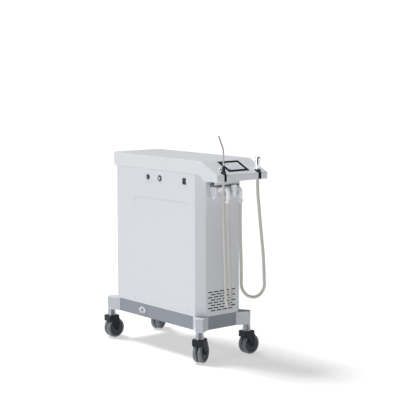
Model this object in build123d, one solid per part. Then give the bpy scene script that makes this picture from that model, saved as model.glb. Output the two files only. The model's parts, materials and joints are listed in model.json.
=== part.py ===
"""Mobile therapy cart with a sloped touch console, two hose-fed handpieces and four twin-wheel casters.

Millimetres, +Z up. Everything is drawn in cabinet coordinates: X = 0 is the front face of the
cabinet and the cabinet runs back along -X, Y = 0 is its near side, Z = 0 is the floor. At the end
all pieces are moved together so that the origin is the centre of the footprint, on the floor.
"""
from build123d import *
import math
import os

# ---------------------------------------------------------------- driving dimensions
CABINET_LENGTH = 800.0
CABINET_WIDTH = 320.0
CAP_WIDTH = 358.0
CORNER_CUT = 42.0
TOP_HEIGHT = 1100.0
CAP_DEPTH = 75.0
REAR_OVERHANG = 24.0
REAR_CORNER_RADIUS = 50.0
BROW_RADIUS = 30.0
SHEET = 2.0
CAP_WALL = 3.0
JOINT_GAP = 0.3

BASE_BOTTOM = 171.0
BASE_TOP = 246.0
RAIL_WIDTH = 40.0
RAIL_WALL = 4.0
POST_FLANGE = 52.0
OUTRIGGER_ROOT = 60.0
OUTRIGGER_TIP = (11.0, 38.0)
DECK_THICKNESS = 3.0

SWIVEL_OFFSET = 10.0
SPIGOT_HEIGHT = 37.0
SPIGOT_TOP_RADIUS = 20.0
SPIGOT_BOTTOM_RADIUS = 25.0
KINGPIN_DEPTH = 28.0
KINGPIN_RADIUS = 10.0
RUNNING_CLEARANCE = 0.05

WHEEL_RADIUS = 57.0
WHEEL_WIDTH = 23.0
WHEEL_GAP = 6.0
AXLE_RADIUS = 4.0
TRAIL = 16.0
WHEEL_CLEARANCE = 3.0
TREAD_ROUND = 6.0
DISH_RADII = (18.0, 45.0)
DISH_DEPTH = 2.0
HOOD_LENGTH = 70.0
HOOD_WIDTH = 66.0
HOOD_BOTTOM = 100.0
HOOD_TOP = 133.0
ARM_THICKNESS = 4.5
ARM_END_RADIUS = 14.0
PEDAL_PIVOT = (25.5, 122.0)
PEDAL_PIN_RADIUS = 2.5
PEDAL_WIDTH = 29.0
CASTERS = {
    "near_front": (25.0, True),
    "far_front": (0.0, False),
    "near_rear": (0.0, False),
    "far_rear": (25.0, True),
}

LIP_X = 144.0
LIP_TOP = 1031.0
LIP_BOTTOM = 995.0
CHEEK_FOOT_X = 37.0
CHEEK_HEEL_X = -6.0
CONSOLE_CENTRE_Y = 180.0
SCREEN_CENTRE_SHARE = 0.46
BEZEL_SIZE = (147.0, 110.0)
DISPLAY_SIZE = (119.0, 78.0)
HOLDER_X = 126.0
CANNULA_Y = 58.0
HANDPIECE_Y = 302.0
HOLDER_WALL = 3.0
HOLDER_BOTTOM = 995.0
HOLDER_TOP = 1046.0
CANNULA_BORE = 11.0
HANDPIECE_BORE = 13.0

PORT_X = 76.0
PORT_Z = 945.0
THIN_PORT_Y = 134.0
CUP_Y = 178.0
THICK_PORT_Y = 222.0
KNOB_Y = 90.0
HOUSING_DEPTH = 55.0
HOUSING_Y = (68.0, 238.0)
HOUSING_BOTTOM = 905.0
ELBOW_RADIUS = 11.5
HOSE_START_Z = 870.0
HOSE_END_Z = 996.0
THIN_HOSE = 13.0
THICK_HOSE = 17.0
SLOT_SQUEEZE = 0.5
SLOT_WALL = 1.0
HOLDERS = ((CANNULA_Y, CANNULA_BORE, THIN_HOSE), (HANDPIECE_Y, HANDPIECE_BORE, THICK_HOSE))

ACCESS_X = (-595.0, -95.0)
ACCESS_Z = (264.0, 862.0)
ACCESS_RIM = 12.0
ACCESS_TOP_GAP = 1.2
CONTROL_Z = 981.0
BUTTON_X = -460.0
KEY_X = -352.0
ROCKER_X = -134.0
BUTTON_HOLE = 11.0
KEY_HOLE = 11.0
ROCKER_SIZE = (22.0, 30.0)
ROCKER_PIVOT_Y = 4.0
FOOT_SOCKET_X = -516.0
FOOT_SOCKET_Z = 208.5
FOOT_SOCKET_RADII = (9.0, 13.0, 15.0)
FOOT_FLANGE = (35.0, 20.5, 5.0)

VENT_ROWS = 8
VENT_PITCH = 14.8
VENT_SIZE = (33.0, 6.0)
VENT_STEP = 41.0
VENT_LOW = 275.0
VENT_CENTRE_Y = 156.0
VENTS_PER_ROW = 5

FAR_COVER_X = (-700.0, -100.0)
FAR_COVER_Z = (272.0, 1000.0)
COVER_BEVEL = 10.0
REAR_GRILLE_Y = 160.0
REAR_GRILLE_Z = 420.0
REAR_GRILLE_SIZE = 130.0
INLET_Y = 90.0
INLET_Z = 316.0

# hose routes, first point at the elbow outlet, last point at the underside of the handpiece
THIN_ROUTE = [
    (76, 134, 870), (76, 134, 805), (78, 136, 690), (82, 140, 545), (86, 144, 420),
    (87, 144, 345), (101.6, 121.7, 317), (122.3, 90.3, 317), (137, 68, 345),
    (136, 67, 415), (134, 65, 545), (130, 61, 690), (127, 58, 830), (126, 58, 920),
    (126, 58, 995.7),
]
THICK_ROUTE = [
    (76, 222, 870), (75.5, 221.2, 805), (76, 222, 690), (79.2, 227.1, 545), (79.7, 227.9, 455),
    (79.2, 227.1, 392), (99.3, 259.3, 345), (129, 306.8, 343), (148.6, 338.2, 390),
    (146.5, 334.8, 460), (144.9, 332.2, 560), (136.4, 318.7, 715), (129.5, 307.6, 860),
    (126, 302, 928), (126, 302, 995.7),
]

SKIRT_Z = TOP_HEIGHT - CAP_DEPTH
parts = {}


# ---------------------------------------------------------------- helpers
def block(x0, x1, y0, y1, z0, z1):
    """A box between two corners."""
    centre = ((x0 + x1) / 2, (y0 + y1) / 2, (z0 + z1) / 2)
    return Pos(*centre) * Box(x1 - x0, y1 - y0, z1 - z0)


def prism(points, z0, z1):
    """A plan outline extruded upwards."""
    return Pos(0, 0, z0) * extrude(make_face(Polyline(*points, close=True)), z1 - z0, dir=(0, 0, 1))


def profile_along_y(points, y0, y1):
    """An (x, z) outline extruded along +Y."""
    face = make_face(Polyline(*[(x, y0, z) for x, z in points], close=True))
    return extrude(face, y1 - y0, dir=(0, 1, 0))


def profile_along_x(points, x0, x1):
    """A (y, z) outline extruded along +X."""
    face = make_face(Polyline(*[(x0, y, z) for y, z in points], close=True))
    return extrude(face, x1 - x0, dir=(1, 0, 0))


def upright(x, y, z0, z1, radius, top_radius=None):
    """A vertical cylinder or cone."""
    if top_radius is None:
        body = Cylinder(radius, z1 - z0)
    else:
        body = Cone(radius, top_radius, z1 - z0)
    return Pos(x, y, (z0 + z1) / 2) * body


def along_x(x0, x1, y, z, radius):
    """A cylinder whose axis is +X."""
    return Pos((x0 + x1) / 2, y, z) * Rot(0, 90, 0) * Cylinder(radius, x1 - x0)


def along_y(x, y0, y1, z, radius):
    """A cylinder whose axis is +Y."""
    return Pos(x, (y0 + y1) / 2, z) * Rot(90, 0, 0) * Cylinder(radius, y1 - y0)


def group(*solids):
    """Separate solids kept in one node."""
    return Compound(children=[s for one in solids for s in one.solids()])


# ---------------------------------------------------------------- base
def corner_frames():
    """Each cabinet corner with the signs that point away from the cabinet."""
    return {
        "near_front": (0.0, 0.0, 1, -1),
        "far_front": (0.0, CABINET_WIDTH, 1, 1),
        "near_rear": (-CABINET_LENGTH, 0.0, -1, -1),
        "far_rear": (-CABINET_LENGTH, CABINET_WIDTH, -1, 1),
    }


def outrigger(corner):
    """A tapered cast foot that reaches out diagonally from one corner."""
    x, y, sx, sy = corner
    short, long = OUTRIGGER_TIP
    outline = [
        (-OUTRIGGER_ROOT, 0), (short, long), (long, short), (0, -OUTRIGGER_ROOT),
        (-RAIL_WIDTH, -OUTRIGGER_ROOT), (-OUTRIGGER_ROOT, -RAIL_WIDTH),
    ]
    return prism([(x + sx * a, y + sy * b) for a, b in outline], BASE_BOTTOM, BASE_TOP)


def rail(x0, x1, y0, y1, opens):
    """One channel rail, open towards the middle of the base.

    opens is the plan direction of the open side, such as (0, 1) for the near rail.
    """
    dx, dy = opens
    past = 1.0
    hollow_x = (x0 + RAIL_WALL if dx > 0 else x0 - past, x1 - RAIL_WALL if dx < 0 else x1 + past)
    hollow_y = (y0 + RAIL_WALL if dy > 0 else y0 - past, y1 - RAIL_WALL if dy < 0 else y1 + past)
    inside = block(*hollow_x, *hollow_y, BASE_BOTTOM + RAIL_WALL, BASE_TOP - RAIL_WALL)
    return block(x0, x1, y0, y1, BASE_BOTTOM, BASE_TOP) - inside


def base_rails():
    """Four channel rails between the outriggers."""
    back, far = -CABINET_LENGTH, CABINET_WIDTH
    root, wide = OUTRIGGER_ROOT, RAIL_WIDTH
    socket_hole = FOOT_SOCKET_RADII[1] + JOINT_GAP
    near_rail = rail(back + root, -root, 0, wide, (0, 1))
    near_rail -= along_y(FOOT_SOCKET_X, -1, RAIL_WALL + 1, FOOT_SOCKET_Z, socket_hole)
    far_rail = rail(back + root, -root, far - wide, far, (0, -1))
    front_rail = rail(-wide, 0, root, far - root, (-1, 0))
    rear_rail = rail(back, back + wide, root, far - root, (1, 0))
    return group(near_rail, far_rail, front_rail, rear_rail)


def base_outriggers():
    """Four cast outriggers, welded to the ends of the rails."""
    return group(*[outrigger(corner) for corner in corner_frames().values()])


def base_deck():
    """The plate that closes the frame and carries the pump."""
    wide = RAIL_WIDTH
    low = BASE_TOP - DECK_THICKNESS
    deck = block(-CABINET_LENGTH + wide, -wide, wide, CABINET_WIDTH - wide, low, BASE_TOP)
    return chamfer(deck.edges().filter_by(Axis.Z), OUTRIGGER_ROOT - RAIL_WIDTH)


def swivel_centres():
    """Plan position of each caster's swivel axis."""
    return {name: (x + sx * SWIVEL_OFFSET, y + sy * SWIVEL_OFFSET)
            for name, (x, y, sx, sy) in corner_frames().items()}


def leg_spigots():
    """Conical sockets under the outriggers, one per caster."""
    low = BASE_BOTTOM - SPIGOT_HEIGHT
    made = []
    for x, y in swivel_centres().values():
        cone = upright(x, y, low, BASE_BOTTOM, SPIGOT_BOTTOM_RADIUS, SPIGOT_TOP_RADIUS)
        made.append(cone - upright(x, y, low - 1, low + KINGPIN_DEPTH, KINGPIN_RADIUS + RUNNING_CLEARANCE))
    return group(*made)


def foot_switch_socket():
    """Hexagonal flange with a round socket, set in the near rail."""
    x, z = FOOT_SOCKET_X, FOOT_SOCKET_Z
    half_width, half_height, thickness = FOOT_FLANGE
    bore, barrel, rim = FOOT_SOCKET_RADII
    turns = [math.radians(60 * k) for k in range(6)]
    hexagon = [(x + half_width * math.cos(t), z + half_height * math.sin(t)) for t in turns]
    plate = profile_along_y(hexagon, -thickness, 0)
    plate += along_y(x, -thickness - 2, 0, z, rim)
    plate += along_y(x, 0, 26, z, barrel)
    return plate - along_y(x, -thickness - 3, 18, z, bore)


# ---------------------------------------------------------------- casters
def caster_fork(braked):
    """Hood, tapered side arms, riveted axle and kingpin, with the swivel axis at the local origin."""
    half_x, half_y = HOOD_WIDTH / 2, HOOD_LENGTH / 2
    hood = block(-half_x, half_x, -half_y, half_y, HOOD_BOTTOM, HOOD_TOP)
    hood = fillet(hood.edges().filter_by(Axis.Z), 9)
    between = half_x - ARM_THICKNESS
    hood -= along_x(-between, between, TRAIL, WHEEL_RADIUS, WHEEL_RADIUS + WHEEL_CLEARANCE)
    shoulder = Vector(-half_y + 10, HOOD_BOTTOM + 14, 0)
    reach = Vector(TRAIL, WHEEL_RADIUS, 0) - shoulder
    lean = math.atan2(reach.Y, reach.X) - math.asin(ARM_END_RADIUS / reach.length)
    run = math.sqrt(reach.length**2 - ARM_END_RADIUS**2)
    touch = (shoulder.X + run * math.cos(lean), shoulder.Y + run * math.sin(lean))
    right = (TRAIL + ARM_END_RADIUS, WHEEL_RADIUS)
    outline = [(shoulder.X, shoulder.Y), (half_y, shoulder.Y), right, (TRAIL, WHEEL_RADIUS), touch]
    for side in (-1, 1):
        low, high = sorted((side * between, side * half_x))
        hood += profile_along_x(outline, low, high)
        hood += along_x(low, high, TRAIL, WHEEL_RADIUS, ARM_END_RADIUS)
    hood += along_x(-half_x, half_x, TRAIL, WHEEL_RADIUS, AXLE_RADIUS)
    for low, high in ((-half_x - 2.5, -half_x), (half_x, half_x + 2.5)):
        hood += along_x(low, high, TRAIL, WHEEL_RADIUS, 7)
    if braked:
        y, z = PEDAL_PIVOT
        reach = PEDAL_WIDTH / 2 + 0.5
        hood -= block(-reach, reach, y - 7, half_y + 1, z - 10, HOOD_TOP + 1)
        hood += along_x(-reach - 1, reach + 1, y, z, PEDAL_PIN_RADIUS)
    return hood + upright(0, 0, HOOD_TOP - 1, HOOD_TOP + 26, KINGPIN_RADIUS)


def caster_wheel(side):
    """One of the two wheels: a round tread on a dished disc."""
    inner = WHEEL_GAP / 2
    low, high = sorted((side * inner, side * (inner + WHEEL_WIDTH)))
    wheel = along_x(low, high, TRAIL, WHEEL_RADIUS, WHEEL_RADIUS)
    rims = wheel.edges().filter_by(GeomType.CIRCLE)
    wheel = fillet(rims, TREAD_ROUND)
    face = side * (inner + WHEEL_WIDTH)
    dish = sorted((face, face - side * DISH_DEPTH))
    boss, rim = DISH_RADII
    wheel -= along_x(*dish, TRAIL, WHEEL_RADIUS, rim) - along_x(*dish, TRAIL, WHEEL_RADIUS, boss)
    return wheel - along_x(-HOOD_WIDTH, HOOD_WIDTH, TRAIL, WHEEL_RADIUS, AXLE_RADIUS + 0.1)


def brake_pedal():
    """Foot lever over the trailing side of the wheels, hinged on a pin across the hood."""
    y, z = PEDAL_PIVOT
    side = [(y, z + 5), (y + 22, z + 10), (y + 26, z + 9), (y + 26, z + 6), (y + 3, z - 3)]
    pedal = profile_along_x(side, -PEDAL_WIDTH / 2, PEDAL_WIDTH / 2)
    pedal += along_x(-PEDAL_WIDTH / 2, PEDAL_WIDTH / 2, y, z, 5)
    return pedal - along_x(-PEDAL_WIDTH, PEDAL_WIDTH, y, z, PEDAL_PIN_RADIUS + RUNNING_CLEARANCE)


def add_casters():
    """All caster pieces, turned to their resting headings."""
    for name, (heading, braked) in CASTERS.items():
        place = Pos(*swivel_centres()[name], 0) * Rot(0, 0, heading)
        parts[f"fork_{name}"] = place * caster_fork(braked)
        parts[f"wheel_inner_{name}"] = place * caster_wheel(-1)
        parts[f"wheel_outer_{name}"] = place * caster_wheel(1)
        if braked:
            parts[f"brake_pedal_{name}"] = place * brake_pedal()


# ---------------------------------------------------------------- cabinet
def corner_posts():
    """Four folded posts whose outer faces are the cabinet's chamfered corners."""
    wall = SHEET
    slope = wall * (math.sqrt(2) - 1)
    c, r = CORNER_CUT, POST_FLANGE
    outline = [(-r, 0), (-c, 0), (0, -c), (0, -r), (-wall, -r), (-wall, -c - slope),
               (-c - slope, -wall), (-r, -wall)]
    posts = [prism([(x + sx * a, y + sy * b) for a, b in outline], BASE_TOP, SKIRT_Z)
             for x, y, sx, sy in corner_frames().values()]
    return group(*[post - console_wedge() for post in posts])


def console_wedge():
    """Space that the console's underside takes from the cabinet's front edge."""
    drop = (SKIRT_Z - LIP_BOTTOM) / (CHEEK_FOOT_X - CHEEK_HEEL_X)
    heel, tip = CHEEK_HEEL_X - JOINT_GAP, 6
    low = SKIRT_Z - drop * (tip - heel)
    outline = [(heel, SKIRT_Z), (tip, low), (tip, SKIRT_Z + 1), (heel, SKIRT_Z + 1)]
    return profile_along_y(outline, -1, CABINET_WIDTH + 1)


def near_side_panel():
    """The long near side: access opening with a rebate behind it, and the control cut-outs."""
    gap = JOINT_GAP
    panel = block(-CABINET_LENGTH + POST_FLANGE, -POST_FLANGE, 0, SHEET, BASE_TOP, SKIRT_Z)
    (x0, x1), (z0, z1), rim = ACCESS_X, ACCESS_Z, ACCESS_RIM
    panel -= block(x0 - gap, x1 + gap, -1, SHEET + 1, z0 - gap, z1 + ACCESS_TOP_GAP)
    rebate = block(x0 - rim, x1 + rim, SHEET, 2 * SHEET, z0 - rim, z1 + rim)
    panel += rebate - block(x0 + rim, x1 - rim, SHEET - 1, 2 * SHEET + 1, z0 + rim, z1 - rim)
    panel -= along_y(BUTTON_X, -1, SHEET + 1, CONTROL_Z, BUTTON_HOLE)
    panel -= along_y(KEY_X, -1, SHEET + 1, CONTROL_Z, KEY_HOLE)
    half_w, half_h = ROCKER_SIZE[0] / 2, ROCKER_SIZE[1] / 2
    x, z = ROCKER_X, CONTROL_Z
    return panel - block(x - half_w, x + half_w, -1, SHEET + 1, z - half_h, z + half_h)


def near_access_cover():
    """Flush pan that fills the access opening."""
    (x0, x1), (z0, z1) = ACCESS_X, ACCESS_Z
    outer, inner = ACCESS_RIM + 2, ACCESS_RIM + 2 + SHEET
    flange = block(x0 + outer, x1 - outer, SHEET, 12, z0 + outer, z1 - outer)
    flange -= block(x0 + inner, x1 - inner, SHEET - 1, 13, z0 + inner, z1 - inner)
    return block(x0, x1, 0, SHEET, z0, z1) + flange


def far_side_panel():
    """The long far side, with the opening behind the service cover."""
    y0, y1 = CABINET_WIDTH - SHEET, CABINET_WIDTH
    panel = block(-CABINET_LENGTH + POST_FLANGE, -POST_FLANGE, y0, y1, BASE_TOP, SKIRT_Z)
    return panel - block(-640, -160, y0 - 1, y1 + 1, 330, 900)


def far_service_cover():
    """Deep pan on the far side, flush with the cap."""
    y0, y1 = CABINET_WIDTH, CAP_WIDTH
    cover = block(*FAR_COVER_X, y0, y1, *FAR_COVER_Z)
    cover = chamfer(cover.faces().sort_by(Axis.Y)[-1].edges(), COVER_BEVEL)
    inner = block(FAR_COVER_X[0] + SHEET, FAR_COVER_X[1] - SHEET, y0 - 1, y1 - SHEET,
                  FAR_COVER_Z[0] + SHEET, FAR_COVER_Z[1] - SHEET)
    return cover - chamfer(inner.faces().sort_by(Axis.Y)[-1].edges(), COVER_BEVEL - 0.6)


def vent_centres():
    """Centre (y, z) of each staggered ventilation slot."""
    for row in range(VENT_ROWS):
        count = VENTS_PER_ROW if row % 2 else VENTS_PER_ROW - 1
        for k in range(count):
            yield VENT_CENTRE_Y + (k - (count - 1) / 2) * VENT_STEP, VENT_LOW + row * VENT_PITCH


def front_panel():
    """The narrow front with its staggered ventilation slots."""
    panel = block(-SHEET, 0, POST_FLANGE, CABINET_WIDTH - POST_FLANGE, BASE_TOP, SKIRT_Z)
    w, h = VENT_SIZE
    slots = [Pos(-SHEET / 2, y, z) * Box(3 * SHEET, w, h) for y, z in vent_centres()]
    return panel - slots - console_wedge()


def rear_panel():
    """The narrow back with the grille, inlet and earth pin cut-outs."""
    x0, x1 = -CABINET_LENGTH, -CABINET_LENGTH + SHEET
    panel = block(x0, x1, POST_FLANGE, CABINET_WIDTH - POST_FLANGE, BASE_TOP, SKIRT_Z)
    panel -= along_x(x0 - 1, x1 + 1, REAR_GRILLE_Y, REAR_GRILLE_Z, 57)
    return panel - block(x0 - 1, x1 + 1, INLET_Y - 14, INLET_Y + 14, INLET_Z - 24, INLET_Z + 24)


# ---------------------------------------------------------------- cap and console
def slope_plane():
    """Plane of the sloped console at the screen's centre, local x along +Y, z outwards."""
    drop = TOP_HEIGHT - LIP_TOP
    x = SCREEN_CENTRE_SHARE * LIP_X
    z = TOP_HEIGHT - SCREEN_CENTRE_SHARE * drop
    return Plane(origin=(x, CONSOLE_CENTRE_Y, z), x_dir=(0, 1, 0), z_dir=(drop, 0, LIP_X))


def top_cap():
    """Long cap and cantilevered console as one shell, open towards the cabinet."""
    rear = -CABINET_LENGTH - REAR_OVERHANG
    side = [(rear, SKIRT_Z), (rear, TOP_HEIGHT), (0, TOP_HEIGHT), (LIP_X, LIP_TOP),
            (LIP_X, LIP_BOTTOM), (CHEEK_FOOT_X, LIP_BOTTOM), (CHEEK_HEEL_X, SKIRT_Z)]
    cap = profile_along_y(side, 0, CAP_WIDTH)
    brow = cap.edges().filter_by(Axis.Y).sort_by_distance((0, CAP_WIDTH / 2, TOP_HEIGHT))[0]
    cap = fillet(brow, BROW_RADIUS)
    cap = fillet(cap.edges().filter_by(Axis.Z).group_by(Axis.X)[0], REAR_CORNER_RADIUS)
    t = CAP_WALL
    hollow = [(rear + t, SKIRT_Z + t), (rear + t, TOP_HEIGHT - t), (-0.7, TOP_HEIGHT - t),
              (LIP_X - t, LIP_TOP - 1.9), (LIP_X - t, LIP_BOTTOM + t),
              (CHEEK_FOOT_X + 1, LIP_BOTTOM + t), (CHEEK_HEEL_X + 1, SKIRT_Z + t)]
    inside = profile_along_y(hollow, t, CAP_WIDTH - t)
    inside = fillet(inside.edges().filter_by(Axis.Z).group_by(Axis.X)[0], REAR_CORNER_RADIUS - t)
    cap -= inside
    cap -= block(-CABINET_LENGTH + 12, -12, 12, CABINET_WIDTH - 12, SKIRT_Z - 1, SKIRT_Z + t + 1)
    w, h = BEZEL_SIZE
    cap -= slope_plane() * Box(w, h, 14)
    for y, bore, tube in HOLDERS:
        cap -= keyhole(y, bore + HOLDER_WALL, tube / 2 - SLOT_SQUEEZE + SLOT_WALL, LIP_X + 5)
    return cap


def keyhole(y, radius, half_slot, front):
    """A vertical hole with a slot running out to the front."""
    low = HOLDER_BOTTOM - 9
    hole = upright(HOLDER_X, y, low, TOP_HEIGHT, radius)
    return hole + block(HOLDER_X, front, y - half_slot, y + half_slot, low, TOP_HEIGHT)


def holder_insert(y, bore, tube):
    """Black liner of one instrument holder, with the slot its hose passes through."""
    half_slot = tube / 2 - SLOT_SQUEEZE
    liner = keyhole(y, bore + HOLDER_WALL, half_slot + SLOT_WALL, LIP_X + 0.6)
    liner &= block(HOLDER_X - 40, LIP_X + 2, y - 40, y + 40, HOLDER_BOTTOM, HOLDER_TOP)
    liner -= block(HOLDER_X + bore - 2, LIP_X + 3, y - 40, y + 40, LIP_TOP - 1, HOLDER_TOP + 1)
    return liner - keyhole(y, bore, half_slot, LIP_X + 3)


def screen_bezel():
    """Black glass frame of the touch screen."""
    w, h = BEZEL_SIZE
    dw, dh = DISPLAY_SIZE
    plate = Pos(0, 0, -1.0) * Box(w, h, 3)
    plate = fillet(plate.edges().filter_by(Axis.Z), 3)
    return slope_plane() * (plate - Pos(0, 0, -1) * Box(dw, dh, 5))


def display_glass():
    """The lit area inside the bezel."""
    dw, dh = DISPLAY_SIZE
    return slope_plane() * (Pos(0, 0, -1.15) * Box(dw, dh, 2.7))


# ---------------------------------------------------------------- hose manifold
def manifold_housing():
    """White block on the front face that joins the hose ports, with the regulator's spindle."""
    low, high = HOUSING_Y
    body = block(0, HOUSING_DEPTH, low, high, HOUSING_BOTTOM, 958)
    body = fillet(body.edges().filter_by(Axis.Z).group_by(Axis.X)[-1], 7)
    pocket = block(HOUSING_DEPTH - 10, HOUSING_DEPTH + 1, low + 44, high + 1, HOUSING_BOTTOM - 1, 928)
    return body - pocket + along_x(HOUSING_DEPTH - 1, HOUSING_DEPTH + 8, KNOB_Y, PORT_Z, 4)


def manifold_gasket():
    """Dark seal between the manifold block and its lid."""
    low, high = HOUSING_Y
    return block(0, HOUSING_DEPTH - 3, low + 3, high - 3, 958, 970)


def manifold_lid():
    """Upper block that hangs the manifold from the console."""
    low, high = HOUSING_Y
    body = block(CHEEK_FOOT_X + 1, HOUSING_DEPTH, low, high, 970, LIP_BOTTOM)
    return fillet(body.edges().filter_by(Axis.Z).group_by(Axis.X)[-1], 5)


def hose_elbow(y):
    """Glossy elbow from the manifold's face down to the hose."""
    corners = [(HOUSING_DEPTH, y, PORT_Z), (PORT_X, y, PORT_Z), (PORT_X, y, HOSE_START_Z)]
    path = FilletPolyline(*corners, radius=18)
    section = Plane(origin=(HOUSING_DEPTH, y, PORT_Z), z_dir=(1, 0, 0)) * Circle(ELBOW_RADIUS)
    elbow = sweep(section, path=path)
    elbow += along_x(HOUSING_DEPTH, HOUSING_DEPTH + 5, y, PORT_Z, ELBOW_RADIUS + 3)
    return elbow + upright(PORT_X, y, HOSE_START_Z, HOSE_START_Z + 12, ELBOW_RADIUS + 1.5)


def strainer_cup():
    """Ribbed cup between the elbows that catches debris."""
    x = PORT_X - 2
    cup = upright(x, CUP_Y, 903, 958, 12.5) + upright(x, CUP_Y, 930, 968, 14.5)
    for k in range(18):
        turn = math.radians(20 * k)
        cup += upright(x + 14.5 * math.cos(turn), CUP_Y + 14.5 * math.sin(turn), 932, 966, 1.1)
    return cup + along_x(HOUSING_DEPTH, x, CUP_Y, PORT_Z, 8)


def regulator_knob():
    """Suction regulator, turned by hand on its stub."""
    x0 = HOUSING_DEPTH + 0.5
    knob = along_x(x0, x0 + 13, KNOB_Y, PORT_Z, 14)
    for k in range(10):
        turn = math.radians(36 * k)
        knob -= along_x(x0 - 1, x0 + 11, KNOB_Y + 16 * math.cos(turn), PORT_Z + 16 * math.sin(turn), 3.2)
    knob += along_x(x0 + 12, x0 + 14, KNOB_Y, PORT_Z, 11)
    return knob - along_x(x0 - 1, x0 + 8, KNOB_Y, PORT_Z, 4.05)


def drain_plug():
    """White plug under the manifold block."""
    return upright(26, 77, HOUSING_BOTTOM - 12, HOUSING_BOTTOM, 6, 7.5)


# ---------------------------------------------------------------- hoses
def route_radii(route):
    """The largest arc each corner's two runs allow."""
    points = [Vector(*p) for p in route]
    radii = []
    for before, corner, after in zip(points, points[1:], points[2:]):
        turn = math.radians((corner - before).get_angle(after - corner))
        shorter = min((corner - before).length, (after - corner).length)
        radii.append(0.45 * shorter / math.tan(turn / 2))
    return radii


def hose(name, route, diameter):
    """A tube of straight runs joined by tangent arcs."""
    radii = route_radii(route)
    path = FilletPolyline(*route, radius=radii)
    section = Plane(origin=route[0], z_dir=(0, 0, -1)) * Circle(diameter / 2)
    tube = sweep(section, path=path)
    expected = math.pi * diameter**2 / 4 * path.length
    print(name, "length", round(path.length, 1), "tightest radius", round(min(radii), 1),
          "diameters", round(min(radii) / diameter, 2), "volume ratio", round(tube.volume / expected, 4))
    return tube


# ---------------------------------------------------------------- instruments
def cannula_handle():
    """Dark tapered handle that stands in the near holder."""
    body = upright(HOLDER_X, CANNULA_Y, HOSE_END_Z, HOLDER_TOP + 0.3, CANNULA_BORE - 1)
    body += upright(HOLDER_X, CANNULA_Y, HOLDER_TOP + 0.3, HOLDER_TOP + 6, 12.5)
    return body + upright(HOLDER_X, CANNULA_Y, HOLDER_TOP + 6, HOLDER_TOP + 34, 11.5, 5)


def cannula_tube():
    """Slim bent steel tube."""
    z0 = HOLDER_TOP + 34
    path = FilletPolyline((HOLDER_X, CANNULA_Y, z0), (HOLDER_X, CANNULA_Y, 1163),
                          (HOLDER_X - 3, CANNULA_Y - 31, 1238), radius=90)
    section = Plane(origin=(HOLDER_X, CANNULA_Y, z0)) * Circle(4)
    bore = Plane(origin=(HOLDER_X, CANNULA_Y, z0)) * Circle(3)
    return sweep(section, path=path) - sweep(bore, path=path)


def cannula_vent_lever():
    """Stem and chrome ball that the thumb works."""
    z = HOLDER_TOP + 14
    tip = Vector(HOLDER_X - 11, CANNULA_Y - 14.5, z)
    root = Vector(HOLDER_X - 5.2, CANNULA_Y - 6.9, z)
    stem = sweep(Plane(origin=root, z_dir=tip - root) * Circle(2), path=Line(root, tip))
    handle = upright(HOLDER_X, CANNULA_Y, HOLDER_TOP + 6, HOLDER_TOP + 34, 11.5, 5)
    return stem + Pos(*tip) * Sphere(5.8) - handle


def handpiece_body():
    """Chrome barrel of the thick handpiece, with the groove of its slider."""
    x, y = HOLDER_X, HANDPIECE_Y
    barrel = upright(x, y, HOLDER_TOP + 4, 1116, 14.5)
    barrel = fillet(barrel.faces().sort_by(Axis.Z)[-1].edges(), 5)
    groove = Pos(x, y, 1091) * Rot(0, 0, -48) * Pos(14, 0, 0) * Box(7, 6.4, 40)
    return barrel - groove


def handpiece_collar():
    """Black socket of the thick handpiece, which stands in the far holder."""
    x, y = HOLDER_X, HANDPIECE_Y
    collar = upright(x, y, HOSE_END_Z, HOLDER_TOP + 0.3, HANDPIECE_BORE - 1)
    return collar + upright(x, y, HOLDER_TOP + 0.3, HOLDER_TOP + 4, 16)


# ---------------------------------------------------------------- controls on the near side
def control_bezels():
    """Rings and frame around the button, the key switch and the mains rocker."""
    ring = along_y(BUTTON_X, -2.5, 0, CONTROL_Z, 15) + along_y(BUTTON_X, 0, 24, CONTROL_Z, BUTTON_HOLE)
    ring -= along_y(BUTTON_X, -3, 20, CONTROL_Z, 9.3)
    key = along_y(KEY_X, -2.5, 0, CONTROL_Z, 17) + along_y(KEY_X, 0, 26, CONTROL_Z, KEY_HOLE)
    key -= along_y(KEY_X, -3, 22, CONTROL_Z, 9.08)
    w, h = ROCKER_SIZE
    x, z = ROCKER_X, CONTROL_Z
    frame = block(x - w / 2 - 2.5, x + w / 2 + 2.5, -2.5, 0, z - h / 2 - 2.5, z + h / 2 + 2.5)
    frame += block(x - w / 2, x + w / 2, 0, 24, z - h / 2, z + h / 2)
    frame -= block(x - 8.6, x + 8.6, -3, 20, z - 12.9, z + 12.9)
    frame -= along_x(x - 10.2, x + 10.2, ROCKER_PIVOT_Y, z, 1.5 + RUNNING_CLEARANCE)
    return group(ring, key, frame)


def power_button():
    """Black push button."""
    cap = along_y(BUTTON_X, -6, 14, CONTROL_Z, 9)
    return fillet(cap.faces().sort_by(Axis.Y)[0].edges(), 2)


def key_barrel():
    """Rotating barrel of the key switch with its slotted face."""
    barrel = along_y(KEY_X, -4.5, 16, CONTROL_Z, 9)
    return barrel - block(KEY_X - 1.3, KEY_X + 1.3, -6, 2, CONTROL_Z - 5, CONTROL_Z + 5)


def rocker_paddle():
    """Mains rocker, pivoted across its middle and resting with its top edge out."""
    x, z = ROCKER_X, CONTROL_Z
    outline = [(-3.6, 10.9), (-0.2, 0), (-0.6, -10.9), (6, -8), (8, 0), (6, 8)]
    paddle = profile_along_x([(y, z + b) for y, b in outline], x - 8.2, x + 8.2)
    return paddle + along_x(x - 10, x + 10, ROCKER_PIVOT_Y, z, 1.5)


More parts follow.
